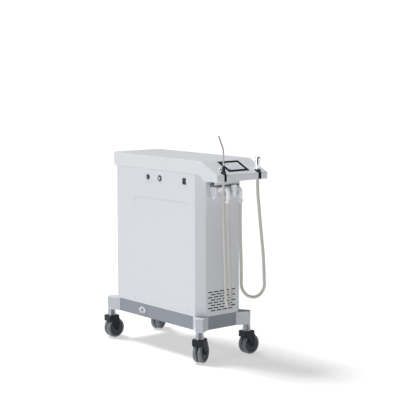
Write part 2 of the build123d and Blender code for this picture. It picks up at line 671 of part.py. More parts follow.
def screw_heads():
    """Visible round-head screws of the covers, as separate pieces."""
    made = []
    for x in (-589, -116):
        for z in (277, 847):
            made.append(along_y(x, -1.6, 0, z, 4))
    made.append(along_y(-699, -1.6, 0, 983, 4))
    for x in (FAR_COVER_X[0] + 30, FAR_COVER_X[1] - 30):
        for z in (FAR_COVER_Z[0] + 30, FAR_COVER_Z[1] - 30):
            made.append(along_y(x, CAP_WIDTH, CAP_WIDTH + 1.6, z, 4))
    rear = -CABINET_LENGTH
    for y in (OUTRIGGER_ROOT + 10, CABINET_WIDTH - OUTRIGGER_ROOT - 10):
        for z in (BASE_TOP + 20, 640, SKIRT_Z - 25):
            made.append(along_x(rear - 1.6, rear, y, z, 4))
    return group(*made)


# ---------------------------------------------------------------- rear and inside
def mains_inlet():
    """Flanged inlet with three blades, its fuse drawer above."""
    x = -CABINET_LENGTH
    flange = block(x - 3, x, INLET_Y - 19, INLET_Y + 19, INLET_Z - 28, INLET_Z + 28)
    flange += block(x, x + 30, INLET_Y - 13.7, INLET_Y + 13.7, INLET_Z - 23.7, INLET_Z + 23.7)
    flange -= block(x - 4, x + 18, INLET_Y - 12, INLET_Y + 12, INLET_Z - 20, INLET_Z - 3)
    flange -= block(x - 4, x - 2, INLET_Y - 12, INLET_Y + 12, INLET_Z + 5, INLET_Z + 20)
    for y, z in ((0, -8), (-7, -14), (7, -14)):
        flange += block(x + 6, x + 19, INLET_Y + y - 1, INLET_Y + y + 1, INLET_Z + z - 2, INLET_Z + z + 2)
    return flange


def earth_pin():
    """Equipotential bonding pin on the back."""
    x, y = -CABINET_LENGTH, 230
    return along_x(x - 3, x, y, INLET_Z, 9) + along_x(x - 16, x - 3, y, INLET_Z, 3)


def exhaust_grille():
    """Slatted grille over the rear fan."""
    x, half = -CABINET_LENGTH, REAR_GRILLE_SIZE / 2
    y, z = REAR_GRILLE_Y, REAR_GRILLE_Z
    frame = block(x - 4, x, y - half, y + half, z - half, z + half)
    for k in range(9):
        low = z - 51 + 12 * k
        frame -= block(x - 5, x + 1, y - 54, y + 54, low, low + 6)
    return frame


def fan_frame():
    """Square fan housing behind the grille, with the hub that carries the rotor."""
    x = -CABINET_LENGTH + SHEET
    y, z = REAR_GRILLE_Y, REAR_GRILLE_Z
    frame = block(x, x + 25, y - 60, y + 60, z - 60, z + 60) - along_x(x - 1, x + 26, y, z, 56)
    spokes = block(x + 22, x + 25, y - 58, y + 58, z - 3, z + 3)
    spokes += block(x + 22, x + 25, y - 3, y + 3, z - 58, z + 58)
    return frame + spokes + along_x(x + 22, x + 25, y, z, 18) + along_x(x + 8, x + 22, y, z, 3)


def fan_rotor():
    """Seven-bladed rotor on the hub pin."""
    x = -CABINET_LENGTH + SHEET
    y, z = REAR_GRILLE_Y, REAR_GRILLE_Z
    rotor = along_x(x + 3, x + 21, y, z, 18)
    for k in range(7):
        blade = Rot(0, 0, 32) * Box(16, 2, 38)
        rotor += Pos(x + 12, y, z) * Rot(360 / 7 * k, 0, 0) * Pos(0, 0, 34) * blade
    return rotor - along_x(x + 6, x + 23, y, z, 3.06)


def vacuum_pump():
    """Motor with a pump head at each end and a foot plate."""
    x, y, z = -430, 160, 360
    pump = along_x(x - 81, x + 81, y, z, 52)
    for low in (x - 125, x + 80):
        pump += block(low, low + 45, y - 48, y + 48, z - 49, z + 62)
    return pump + block(x - 100, x + 100, y - 55, y + 55, 276, 314)


def pump_mounts():
    """Four rubber mounts between the pump and the deck."""
    places = [(-430 + sx * 80, 160 + sy * 45) for sx in (-1, 1) for sy in (-1, 1)]
    return group(*[upright(x, y, BASE_TOP, 276, 14) for x, y in places])


def collection_canister():
    """Removable canister for the aspirated fluid, with its lid."""
    x, y = -165, 150
    body = upright(x, y, BASE_TOP, 500, 72, 80) - upright(x, y, BASE_TOP + 4, 501, 68, 76)
    return body + upright(x, y, 500, 516, 84) + upright(x, y, 516, 530, 12)


def power_supply():
    """Medical power supply on the far wall."""
    return block(-640, -470, 262, 317, 560, 760)


def control_board():
    """Main circuit board with its larger components and standoffs."""
    y = 310
    board = block(-400, -220, y - 2, y, 620, 800)
    parts_on_board = [(-380, 640, 40, 24), (-320, 690, 50, 14), (-250, 650, 26, 30), (-370, 740, 60, 18)]
    for x, z, size, height in parts_on_board:
        board += block(x, x + size, y - 2 - height, y - 2, z, z + size)
    for x in (-392, -228):
        for z in (628, 792):
            board += along_y(x, y, CABINET_WIDTH - SHEET, z, 4)
    return board


# ---------------------------------------------------------------- assembly
def build():
    """Fills the parts table in cabinet coordinates."""
    makers = [
        base_rails, base_outriggers, base_deck, leg_spigots, foot_switch_socket, corner_posts,
        near_side_panel, near_access_cover, far_side_panel, far_service_cover, front_panel,
        rear_panel, top_cap, screen_bezel, display_glass, manifold_housing, manifold_gasket,
        manifold_lid, strainer_cup, regulator_knob, drain_plug, cannula_handle, cannula_tube,
        cannula_vent_lever, handpiece_body, handpiece_collar, control_bezels, power_button,
        key_barrel, rocker_paddle, screw_heads, mains_inlet, earth_pin, exhaust_grille,
        fan_frame, fan_rotor, vacuum_pump, pump_mounts, collection_canister, power_supply,
        control_board,
    ]
    for maker in makers:
        parts[maker.__name__] = maker()
    parts["holder_inserts"] = group(*[holder_insert(*holder) for holder in HOLDERS])
    parts["thin_hose_elbow"] = hose_elbow(THIN_PORT_Y)
    parts["thick_hose_elbow"] = hose_elbow(THICK_PORT_Y)
    add_casters()


HOSES = {"thin_hose": (THIN_ROUTE, THIN_HOSE), "thick_hose": (THICK_ROUTE, THICK_HOSE)}


def footprint_shift():
    """Moves the footprint's centre to the origin, measured without the hoses."""
    boxes = [shape.bounding_box() for shape in parts.values()]
    x = (min(b.min.X for b in boxes) + max(b.max.X for b in boxes)) / 2
    y = (min(b.min.Y for b in boxes) + max(b.max.Y for b in boxes)) / 2
    return -x, -y


build()
SHIFT_X, SHIFT_Y = footprint_shift()
for hose_name, (route, diameter) in HOSES.items():
    parts[hose_name] = hose(hose_name, route, diameter)


if __name__ == "__main__":
    os.makedirs("parts", exist_ok=True)
    for name, shape in parts.items():
        export_step(Pos(SHIFT_X, SHIFT_Y, 0) * shape, f"parts/{name}.step")
    print("nodes", len(parts), "shift", round(SHIFT_X, 2), round(SHIFT_Y, 2))
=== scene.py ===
"""Looks of a mobile therapy cart: materials, hoses, wheels, instruments and small fittings.

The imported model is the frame. Metres, +Z up; +X points to the end with the sloped console.
"""
from __future__ import annotations

import json
import logging
import math
import random
from collections.abc import Callable, Iterable, Sequence
from dataclasses import dataclass
from enum import Enum

import bmesh
import bpy
from mathutils import Matrix, Vector


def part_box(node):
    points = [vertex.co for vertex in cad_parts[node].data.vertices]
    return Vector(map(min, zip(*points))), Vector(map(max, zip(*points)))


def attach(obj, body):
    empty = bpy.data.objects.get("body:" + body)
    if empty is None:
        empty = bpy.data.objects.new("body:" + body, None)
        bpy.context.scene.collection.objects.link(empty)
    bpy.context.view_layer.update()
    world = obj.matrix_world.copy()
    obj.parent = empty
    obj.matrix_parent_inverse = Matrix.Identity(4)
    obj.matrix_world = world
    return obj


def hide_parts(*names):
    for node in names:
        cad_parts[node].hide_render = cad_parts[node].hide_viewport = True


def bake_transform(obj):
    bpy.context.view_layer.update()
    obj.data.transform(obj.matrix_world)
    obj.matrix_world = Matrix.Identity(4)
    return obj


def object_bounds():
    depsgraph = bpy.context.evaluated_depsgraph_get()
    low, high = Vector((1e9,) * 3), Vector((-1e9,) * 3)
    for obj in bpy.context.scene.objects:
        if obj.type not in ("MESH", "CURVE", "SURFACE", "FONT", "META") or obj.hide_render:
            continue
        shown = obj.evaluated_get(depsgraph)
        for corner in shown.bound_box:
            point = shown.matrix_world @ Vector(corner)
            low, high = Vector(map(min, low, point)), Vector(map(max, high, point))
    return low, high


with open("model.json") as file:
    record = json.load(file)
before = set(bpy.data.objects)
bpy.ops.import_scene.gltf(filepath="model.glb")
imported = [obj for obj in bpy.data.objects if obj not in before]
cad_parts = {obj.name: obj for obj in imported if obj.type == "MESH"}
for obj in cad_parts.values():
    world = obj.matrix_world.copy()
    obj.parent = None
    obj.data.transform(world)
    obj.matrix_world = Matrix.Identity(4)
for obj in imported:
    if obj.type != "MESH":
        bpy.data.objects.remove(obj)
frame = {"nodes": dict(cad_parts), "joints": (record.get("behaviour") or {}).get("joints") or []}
CAD_LOW, CAD_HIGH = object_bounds()

LOG = logging.getLogger("cart")
MM = 0.001
Point = Sequence[float]
Triple = tuple[float, float, float]
Ring = list[bmesh.types.BMVert]

# Lengths in metres under which two points are one, and a point is on its axis.
SAME_POINT = 1e-7
ON_AXIS = 1e-9

DUST_TINT = (0.46, 0.45, 0.43)
GLASS_BLACK = (0.004, 0.004, 0.006)


# ------------------------------------------------------------------ shader graph
class Value:
    """A number socket that Python expressions can use."""

    def __init__(self, graph: Graph, socket: bpy.types.NodeSocket) -> None:
        """Keeps the socket and the graph that it belongs to."""
        self.graph = graph
        self.socket = socket

    def _math(self, operation: str, other: Value | float, swapped: bool = False) -> Value:
        """Adds one Math node.

        Args:
            operation: The Math node's operation.
            other: The second operand.
            swapped: Puts the other operand first.

        Returns:
            The result.
        """
        operands = (other, self) if swapped else (self, other)
        return self.graph.node("ShaderNodeMath", {"operation": operation}, dict(enumerate(operands)))

    def __add__(self, other: Value | float) -> Value:
        """Sum."""
        return self._math("ADD", other)

    def __sub__(self, other: Value | float) -> Value:
        """Difference."""
        return self._math("SUBTRACT", other)

    def __mul__(self, other: Value | float) -> Value:
        """Product."""
        return self._math("MULTIPLY", other)

    def __truediv__(self, other: Value | float) -> Value:
        """Quotient."""
        return self._math("DIVIDE", other)

    def __rsub__(self, other: float) -> Value:
        """Difference with the number first."""
        return self._math("SUBTRACT", other, swapped=True)

    __radd__ = __add__
    __rmul__ = __mul__

    def __abs__(self) -> Value:
        """Size without its sign."""
        return self._math("ABSOLUTE", 0.0)

    def __pow__(self, other: float) -> Value:
        """Power."""
        return self._math("POWER", other)

    def sine(self) -> Value:
        """Sine."""
        return self._math("SINE", 0.0)

    def below(self, limit: float, soft: float = 0.01) -> Value:
        """One where the value is under the limit, with a soft edge.

        Args:
            limit: The threshold.
            soft: Half the width of the edge.

        Returns:
            A mask from 0 to 1.
        """
        settings = {"interpolation_type": "SMOOTHSTEP"}
        edges = {"From Min": limit - soft, "From Max": limit + soft, "To Min": 1.0, "To Max": 0.0}
        return self.graph.node("ShaderNodeMapRange", settings, {"Value": self, **edges}, output="Result")

    def output(self, name: str) -> Value:
        """Another output of the same node."""
        return Value(self.graph, self.socket.node.outputs[name])


class Graph:
    """The node tree of one material, or of the world."""

    # A Mix node has a set of sockets for each kind of data; these are the colour ones.
    MIX_FACTOR = 0
    MIX_FIRST = 6
    MIX_SECOND = 7
    MIX_RESULT = 2

    def __init__(self, owner: bpy.types.Material | bpy.types.World) -> None:
        """Empties a node tree to build in.

        Args:
            owner: The material or world that the tree belongs to.
        """
        owner.use_nodes = True
        self.owner = owner
        self.tree = owner.node_tree
        self.tree.nodes.clear()

    @classmethod
    def material(cls, name: str) -> Graph:
        """An empty graph in a new material."""
        return cls(bpy.data.materials.new(name))

    def node(
        self,
        kind: str,
        settings: dict[str, object] | None = None,
        values: dict[str | int, object] | None = None,
        output: str | int = 0,
    ) -> Value:
        """Adds a node.

        Args:
            kind: The node's type.
            settings: Attributes to set before its sockets.
            values: Numbers, colours or links for its inputs.
            output: The output socket to return.

        Returns:
            The chosen output.
        """
        made = self.tree.nodes.new(kind)
        for name, setting in (settings or {}).items():
            setattr(made, name, setting)
        for name, value in (values or {}).items():
            self.feed(made.inputs[name], value)
        return Value(self, made.outputs[output])

    def feed(self, socket: bpy.types.NodeSocket, value: object) -> None:
        """Links a value to a socket, or sets it.

        Args:
            socket: The input socket.
            value: A link, a number, or a colour of three or four numbers.
        """
        if isinstance(value, Value):
            self.tree.links.new(value.socket, socket)
        elif socket.type == "RGBA" and len(value) == 3:
            socket.default_value = (*value, 1.0)
        else:
            socket.default_value = value

    def place(self) -> Value:
        """Position in the row frame, in metres."""
        return self.node("ShaderNodeTexCoord", output="Object")

    def axes(self) -> tuple[Value, ...]:
        """The three coordinates of the position."""
        split = self.node("ShaderNodeSeparateXYZ", values={"Vector": self.place()})
        return tuple(split.output(axis) for axis in "XYZ")

    def noise(self, scale: float, detail: float = 2.0, stretch: Point = (1, 1, 1)) -> Value:
        """Soft random pattern.

        Args:
            scale: Features for each metre.
            detail: Octaves.
            stretch: Scale along each axis.

        Returns:
            A value around one half.
        """
        moved = self.node("ShaderNodeMapping", values={"Vector": self.place(), "Scale": stretch})
        return self.node("ShaderNodeTexNoise", values={"Vector": moved, "Scale": scale, "Detail": detail})

    def tint(self, factor: Value | float, first: Value | Point, second: Value | Point) -> Value:
        """Mixes two colours."""
        values = {self.MIX_FACTOR: factor, self.MIX_FIRST: first, self.MIX_SECOND: second}
        return self.node("ShaderNodeMix", {"data_type": "RGBA"}, values, output=self.MIX_RESULT)

    def relief(self, height: Value, depth: float, strength: float) -> Value:
        """Bump from a height.

        Args:
            height: Height from 0 to 1.
            depth: Its size in metres.
            strength: How much of it shows.

        Returns:
            The normal.
        """
        values = {"Height": height, "Distance": depth, "Strength": strength}
        return self.node("ShaderNodeBump", values=values)

    def close(self, kind: str, shader: Value) -> None:
        """Links a shader to a new output node of that kind."""
        self.feed(self.tree.nodes.new(kind).inputs["Surface"], shader)

    def surface(self, values: dict[str, object]) -> bpy.types.Material:
        """Closes the graph with a principled surface.

        Args:
            values: Numbers or links for the surface's inputs.

        Returns:
            The finished material.
        """
        self.close("ShaderNodeOutputMaterial", self.node("ShaderNodeBsdfPrincipled", values=values))
        return self.owner


def shade(colour: Point, factor: float) -> tuple[float, ...]:
    """The colour made lighter or darker."""
    return tuple(min(1.0, c * factor) for c in colour)


# ------------------------------------------------------------------ finishes
@dataclass(frozen=True)
class PowderCoat:
    """Satin sprayed coat on sheet metal, with faint orange peel and darker, rougher blotches near the
    floor.
    """

    name: str
    colour: Triple
    roughness: float = 0.36
    peel: float = 0.00006
    peel_scale: float = 520.0
    low_darkening_top: float = 0.30
    low_darkening_fade: float = 0.25
    coat: float = 0.12
    coat_roughness: float = 0.16

    def build(self) -> bpy.types.Material:
        """Makes the material.

        Returns:
            The finished material.
        """
        graph = Graph.material(self.name)
        height = graph.axes()[2]
        cloud = graph.noise(3.0, 3.0)
        # Blotches towards the floor are darker and rougher, fading out above the given height.
        low = height.below(self.low_darkening_top, self.low_darkening_fade) * graph.noise(26.0, 5.0) * 0.5
        base = graph.tint(cloud, shade(self.colour, 0.985), shade(self.colour, 1.015))
        base = graph.tint(low * 0.35, base, shade(self.colour, 0.80))
        peel = graph.noise(self.peel_scale)
        return graph.surface({
            "Base Color": base,
            "Roughness": self.roughness + (cloud - 0.5) * 0.10 + low * 0.12,
            "Coat Weight": self.coat,
            "Coat Roughness": self.coat_roughness,
            "Normal": graph.relief(peel, self.peel, 0.5),
        })


@dataclass(frozen=True)
class Moulding:
    """Injection-moulded plastic with a fine spark texture and handling marks."""

    name: str
    colour: Triple
    roughness: float
    grain: float = 0.00003
    grain_scale: float = 1400.0
    coat: float = 0.0
    coat_roughness: float = 0.08
    marks: float = 0.06
    gloss: float = 0.5

    def build(self) -> bpy.types.Material:
        """Makes the material.

        Returns:
            The finished material.
        """
        graph = Graph.material(self.name)
        cloud = graph.noise(9.0, 4.0)
        wipe = graph.noise(45.0, 4.0, (1, 1, 0.15))
        base = graph.tint(cloud, shade(self.colour, 0.96), shade(self.colour, 1.04))
        return graph.surface({
            "Base Color": base,
            "Roughness": self.roughness + (wipe - 0.5) * self.marks * 2,
            "Coat Weight": self.coat,
            "Coat Roughness": self.coat_roughness,
            "Specular IOR Level": self.gloss,
            "Normal": graph.relief(graph.noise(self.grain_scale), self.grain, 0.6),
        })


@dataclass(frozen=True)
class Metal:
    """Bare or plated metal, with streaks along one axis."""

    name: str
    colour: Triple
    roughness: float
    streak: Triple = (1, 1, 0.04)
    streak_scale: float = 620.0
    depth: float = 0.00001

    def build(self) -> bpy.types.Material:
        """Makes the material.

        Returns:
            The finished material.
        """
        graph = Graph.material(self.name)
        streaks = graph.noise(self.streak_scale, 3.0, self.streak)
        smear = graph.noise(35.0, 4.0)
        base = graph.tint(smear, shade(self.colour, 0.92), shade(self.colour, 1.05))
        return graph.surface({
            "Base Color": base,
            "Metallic": 1.0,
            "Roughness": self.roughness + (streaks - 0.5) * self.roughness * 0.5 + (smear - 0.5) * 0.05,
            "Normal": graph.relief(streaks, self.depth, 0.5),
        })


@dataclass(frozen=True)
class Rubber:
    """Rubber or silicone: matt, with fine pores, dust in the low places and a waxy sheen."""

    name: str
    colour: Triple
    roughness: float = 0.55
    dust: float = 0.15
    sheen: float = 0.15
    sheen_roughness: float = 0.4
    pore_scale: float = 900.0
    pore_depth: float = 0.00005

    def build(self) -> bpy.types.Material:
        """Makes the material.

        Returns:
            The finished material.
        """
        graph = Graph.material(self.name)
        cloud = graph.noise(30.0, 5.0)
        pores = graph.noise(self.pore_scale, 3.0)
        base = graph.tint(cloud * self.dust, self.colour, DUST_TINT)
        return graph.surface({
            "Base Color": base,
            "Roughness": self.roughness + (cloud - 0.5) * 0.16,
            "Sheen Weight": self.sheen,
            "Sheen Roughness": self.sheen_roughness,
            "Normal": graph.relief(pores, self.pore_depth, 0.5),
        })


@dataclass(frozen=True)
class LitScreen:
    """Backlit touch screen: a pale page with round icons, gauge rings and a trace, all generic.

    Places and radii on the page are shares of its size, measured from its centre.
    """

    name: str
    centre: Triple
    slope: float
    size: tuple[float, float]
    page_share: float = 0.455
    page_bottom: Triple = (0.56, 0.58, 0.62)
    page_top: Triple = (0.66, 0.68, 0.72)
    icons: tuple[Triple, ...] = ((-0.36, 0.36, 0.055), (-0.22, 0.27, 0.045), (-0.40, -0.38, 0.05))
    icon_tint: Triple = (0.06, 0.28, 0.62)
    gauge_place: tuple[float, float] = (0.12, 0.06)
    gauge_rings: tuple[tuple[float, float], ...] = ((0.17, 0.008), (0.09, 0.012))
    gauge_tint: Triple = (0.48, 0.50, 0.54)
    trace_waves: float = 19.0
    trace_swing: float = 0.05
    trace_height: float = -0.30
    trace_tint: Triple = (0.45, 0.52, 0.60)
    glow: float = 0.16

    def build(self) -> bpy.types.Material:
        """Makes the material.

        Returns:
            The finished material.
        """
        graph = Graph.material(self.name)
        x, y, z = graph.axes()
        across = (y - self.centre[1]) / self.size[0]
        run = (self.centre[0] - x) * math.cos(self.slope) + (z - self.centre[2]) * math.sin(self.slope)
        up = run / self.size[1]
        aspect = self.size[1] / self.size[0]

        def reach(u: float, v: float) -> Value:
            """Distance from a place on the page."""
            return ((across - u) ** 2 + ((up - v) * aspect) ** 2) ** 0.5

        page = graph.tint(up + 0.5, self.page_bottom, self.page_top)
        for u, v, radius in self.icons:
            page = graph.tint(reach(u, v).below(radius, 0.006), page, self.icon_tint)
        for radius, width in self.gauge_rings:
            band = abs(reach(*self.gauge_place) - radius).below(width, 0.004)
            page = graph.tint(band, page, self.gauge_tint)
        wave = (across * self.trace_waves).sine() * self.trace_swing + self.trace_height
        page = graph.tint(abs(up - wave).below(0.014, 0.008), page, self.trace_tint)
        lit = abs(across).below(self.page_share, 0.004) * abs(up).below(self.page_share, 0.006)
        page = graph.tint(lit, GLASS_BLACK, page)
        return graph.surface({
            "Base Color": page,
            "Roughness": 0.12,
            "Coat Weight": 0.2,
            "Coat Roughness": 0.03,
            "Emission Color": page,
            "Emission Strength": self.glow,
        })


class Coat(Enum):
    """Every finish on the cart."""

    CABINET = PowderCoat("cabinet_white", (0.70, 0.715, 0.755))
    CAP = PowderCoat("cap_white", (0.72, 0.735, 0.77), roughness=0.34, low_darkening_top=-1.0)
    BASE = PowderCoat("base_blue_grey", (0.235, 0.26, 0.31), roughness=0.32, low_darkening_top=0.2, coat=0.25)
    DECK = Metal("zinc_plate", (0.50, 0.51, 0.53), 0.34, (1, 0.1, 1))
    OUTRIGGER = PowderCoat("outrigger_silver", (0.60, 0.62, 0.68), roughness=0.28, low_darkening_top=0.2, coat=0.3)
    SPIGOT = Metal("satin_aluminium", (0.42, 0.435, 0.475), 0.22)
    FITTING = Moulding("glossy_white_moulding", (0.88, 0.885, 0.90), 0.12, coat=1.0, grain=0.00001)
    # The white moulding made darker: painted shade for the housing under the console.
    MANIFOLD = Moulding("manifold_white_painted_shade", (0.60, 0.61, 0.655), 0.20, coat=0.5, grain=0.00001)
    SOCKET = Moulding("socket_grey", (0.60, 0.62, 0.66), 0.30)
    FORK = Moulding("fork_black", (0.010, 0.012, 0.017), 0.34, grain=0.00006, gloss=0.25)
    HUB = Moulding("hub_grey", (0.058, 0.063, 0.082), 0.38, grain=0.00005, gloss=0.25)
    TREAD = Rubber("wheel_tread", (0.15, 0.16, 0.19), 0.34, 0.10)
    PEDAL = Moulding("pedal_black", (0.03, 0.033, 0.04), 0.42)
    BLACK = Moulding("black_satin", (0.018, 0.018, 0.022), 0.30)
    GLASS = Moulding("black_glass", GLASS_BLACK, 0.10, grain=0.0, marks=0.02)
    SEAL = Rubber("dark_seal", (0.11, 0.12, 0.14), 0.55)
    HOSE = Rubber("hose_silicone", (0.40, 0.39, 0.365), 0.38, 0.05, 0.2)
    CHROME = Metal("chrome_plate", (0.29, 0.30, 0.33), 0.20, (1, 1, 0.5), 0.000002)
    STEEL = Metal("polished_steel", (0.33, 0.34, 0.37), 0.24)
    ZINC = Metal("zinc_screw", (0.52, 0.53, 0.55), 0.28, (1, 1, 1))
    KEY = Metal("key_face", (0.62, 0.63, 0.65), 0.25, (1, 1, 1))
    CASTING = Metal("pump_casting", (0.42, 0.43, 0.45), 0.42, (1, 1, 1), 0.0001)
    ISOLATOR = Rubber("isolator_rubber", (0.03, 0.03, 0.03), 0.7)
    CANISTER = Moulding("canister_plastic", (0.66, 0.72, 0.76), 0.16, coat=0.3)
    BOARD = Moulding("board_green", (0.02, 0.14, 0.06), 0.35)
    CASE = Metal("power_case", (0.55, 0.56, 0.57), 0.35, (0.05, 1, 1))

    def material(self) -> bpy.types.Material:
        """The finish as a Blender material, made once."""
        return bpy.data.materials.get(self.value.name) or self.value.build()


# ------------------------------------------------------------------ mesh building
class Maker:
    """Builds meshes in the row frame."""

    @staticmethod
    def finish(name: str, mesh: bmesh.types.BMesh, coat: Coat, sharp: float = 35.0) -> bpy.types.Object:
        """Turns a bmesh into a shaded object.

        Args:
            name: The object's name.
            mesh: The geometry, freed here.
            coat: Its finish.
            sharp: Edges over this angle stay sharp, in degrees.

        Returns:
            The object.
        """
        bmesh.ops.remove_doubles(mesh, verts=mesh.verts, dist=SAME_POINT)
        bmesh.ops.recalc_face_normals(mesh, faces=mesh.faces)
        data = bpy.data.meshes.new(name)
        mesh.to_mesh(data)
        mesh.free()
        data.polygons.foreach_set("use_smooth", [True] * len(data.polygons))
        data.set_sharp_from_angle(angle=math.radians(sharp))
        data.materials.append(coat.material())
        made = bpy.data.objects.new(name, data)
        bpy.context.scene.collection.objects.link(made)
        return made

    @staticmethod
    def lathe(
        mesh: bmesh.types.BMesh,
        profile: Sequence[tuple[float, float]],
        place: Matrix,
        steps: int = 64,
        radius_at: Callable[[float, float, float], float] | None = None,
    ) -> None:
        """Turns an (axial, radius) outline about the local z axis.

        Args:
            mesh: Receives the surface.
            profile: Points from one end to the other; a radius of zero closes the end.
            place: Local frame.
            steps: Facets round the axis.
            radius_at: Changes a radius by (axial, radius, turn in radians), such as for ribs.
        """
        rings = []
        for axial, radius in profile:
            if radius < ON_AXIS:
                rings.append([mesh.verts.new(place @ Vector((0, 0, axial)))])
                continue
            ring = []
            for step in range(steps):
                turn = math.tau * step / steps
                r = radius_at(axial, radius, turn) if radius_at else radius
                spot = Vector((r * math.cos(turn), r * math.sin(turn), axial))
                ring.append(mesh.verts.new(place @ spot))
            rings.append(ring)
        for low, high in zip(rings, rings[1:]):
            Maker.bridge(mesh, low, high)

    @staticmethod
    def bridge(mesh: bmesh.types.BMesh, low: Ring, high: Ring) -> None:
        """Joins two rings, either of which may be a single point.

        Args:
            mesh: Receives the faces.
            low: The first ring.
            high: The next ring along.
        """
        count = max(len(low), len(high))
        for step in range(count):
            after = (step + 1) % count
            under = [low[step % len(low)], low[after % len(low)]]
            over = [high[after % len(high)], high[step % len(high)]]
            corners = list(dict.fromkeys(under + over))
            if len(corners) > 2:
                mesh.faces.new(corners)

    @staticmethod
    def tube(mesh: bmesh.types.BMesh, path: Sequence[Vector], radius: float, sides: int = 28) -> None:
        """A closed tube along a line, with frames carried from point to point.

        Args:
            mesh: Receives the tube.
            path: Points of the centre line.
            radius: The tube's radius.
            sides: Facets round it.
        """
        rings = []
        side = Vector((1, 0, 0))
        for index, point in enumerate(path):
            ahead = path[min(index + 1, len(path) - 1)] - path[max(index - 1, 0)]
            ahead.normalize()
            side = (side - ahead * side.dot(ahead)).normalized()
            other = ahead.cross(side)
            ring = []
            for step in range(sides):
                turn = math.tau * step / sides
                spoke = side * math.cos(turn) + other * math.sin(turn)
                ring.append(mesh.verts.new(point + spoke * radius))
            rings.append(ring)
        for low, high in zip(rings, rings[1:]):
            Maker.bridge(mesh, low, high)
        for ring in (rings[0], rings[-1]):
            mesh.faces.new(ring)

    @staticmethod
    def axis(origin: Vector, direction: Point) -> Matrix:
        """A frame whose z axis points along the direction."""
        turn = Vector(direction).normalized().to_track_quat("Z", "Y").to_matrix().to_4x4()
        return Matrix.Translation(origin) @ turn


# CAD facets this close in metres are welded, those this flat are joined, and edges over EDGE_ANGLE
# are broken, by at least LEAST_BEVEL millimetres.
WELD_GAP = 1e-5
FLAT_ANGLE = math.radians(0.4)
EDGE_ANGLE = math.radians(32)
LEAST_BEVEL = 0.05


def dress(
    nodes: str | Iterable[str], coat: Coat, bevel: float, segments: int = 2, clamp: bool = False,
) -> None:
    """Gives CAD nodes a finish and softly broken edges.

    Args:
        nodes: Node names.
        coat: The finish.
        bevel: Width of the broken edge in millimetres, raised to LEAST_BEVEL where it is less.
        segments: Facets across it.
        clamp: Narrows the edge where facets are too short for it.
    """
    for name in [nodes] if isinstance(nodes, str) else nodes:
        piece = frame["nodes"][name]
        data = piece.data
        normals = data.attributes.get("custom_normal")
        if normals:
            data.attributes.remove(normals)
        data.materials.clear()
        data.materials.append(coat.material())
        data.polygons.foreach_set("use_smooth", [True] * len(data.polygons))
        weld = piece.modifiers.new("weld", "WELD")
        weld.merge_threshold = WELD_GAP
        flat = piece.modifiers.new("flat", "DECIMATE")
        flat.decimate_type = "DISSOLVE"
        flat.angle_limit = FLAT_ANGLE
        edge = piece.modifiers.new("edge", "BEVEL")
        edge.limit_method = "ANGLE"
        edge.angle_limit = EDGE_ANGLE
        edge.width = max(bevel, LEAST_BEVEL) * MM
        edge.segments = segments
        edge.use_clamp_overlap = clamp
        edge.harden_normals = True
        LOG.info("dressed %s in %s", name, coat.value.name)


def settle(piece: bpy.types.Object, body: str, slot: str, *nodes: str) -> bpy.types.Object:
    """Rides a piece on its body and hides the CAD nodes that it replaces.

    Args:
        piece: The new piece.
        body: The body that carries it.
        slot: The record's material slot; not used.
        nodes: CAD nodes that it replaces.

    Returns:
        The piece.
    """
    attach(piece, body)
    if nodes:
        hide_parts(*nodes)
    LOG.info("built %s on %s", piece.name, body)
    return piece


def datum() -> Vector:
    """The cabinet's near front corner, on the floor."""
    low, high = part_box("corner_posts")
    return Vector((high.x, low.y, 0.0))


DATUM = datum()


def at(x: float, y: float, z: float) -> Vector:
    """Cabinet coordinates in millimetres as a point of the row frame."""
    return DATUM + Vector((x, y, z)) * MM


def joint(name: str) -> dict:
    """The record's joint of that name."""
    return next(found for found in frame["joints"] if found["name"] == name)


# ------------------------------------------------------------------ cabinet and base
@dataclass
class Cabinet:
    """Panels, cap and inner units that keep their CAD shapes."""

    panel_edge: float = 0.5
    cap_edge: float = 2.2
    mat_size: tuple[float, float] = (214 * MM, 124 * MM)
    mat_low: float = 24 * MM
    mat_gap: float = 1.5 * MM
    mat_depth: float = 5 * MM
    mat_pleats: int = 30
    pleat_share: float = 0.8

    def build(self) -> None:
        """Dresses the cabinet."""
        panels = ["near_side_panel", "near_access_cover", "far_side_panel", "front_panel", "rear_panel"]
        dress([*panels, "corner_posts"], Coat.CABINET, self.panel_edge)
        dress("far_service_cover", Coat.CABINET, 0.8)
        dress("top_cap", Coat.CAP, self.cap_edge, 3)
        dress("base_deck", Coat.DECK, 0.3)
        self.filter_mat()
        self.inner_units()

    def filter_mat(self) -> None:
        """Pleated dust filter clipped behind the front panel's ventilation slots."""
        low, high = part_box("front_panel")
        wide, tall = self.mat_size
        middle = (low.y + high.y) / 2
        bottom = low.z + self.mat_low
        front = low.x - self.mat_gap
        back = front - self.mat_depth
        mesh = bmesh.new()
        steps = self.mat_pleats * 2
        outline = []
        for step in range(steps + 1):
            fold = self.mat_depth * (step % 2) * self.pleat_share
            outline.append((front - fold, middle + wide * (step / steps - 0.5)))
        outline += [(back, middle + wide / 2), (back, middle - wide / 2)]
        base = mesh.faces.new([mesh.verts.new((x, y, bottom)) for x, y in outline])
        lifted = bmesh.ops.extrude_face_region(mesh, geom=[base])["geom"]
        corners = [found for found in lifted if isinstance(found, bmesh.types.BMVert)]
        bmesh.ops.translate(mesh, verts=corners, vec=(0, 0, tall))
        settle(Maker.finish("vent_filter", mesh, Coat.FORK), "cabinet", "black_matte")

    def inner_units(self) -> None:
        """Dresses what the panels hide."""
        dress("vacuum_pump", Coat.CASTING, 1.0)
        dress("pump_mounts", Coat.ISOLATOR, 0.8)
        dress("collection_canister", Coat.CANISTER, 1.0)
        dress("power_supply", Coat.CASE, 0.8)
        dress("control_board", Coat.BOARD, 0.2)
        dress(["fan_frame", "fan_rotor", "exhaust_grille", "mains_inlet"], Coat.BLACK, 0.4)
        dress("earth_pin", Coat.ZINC, 0.3)


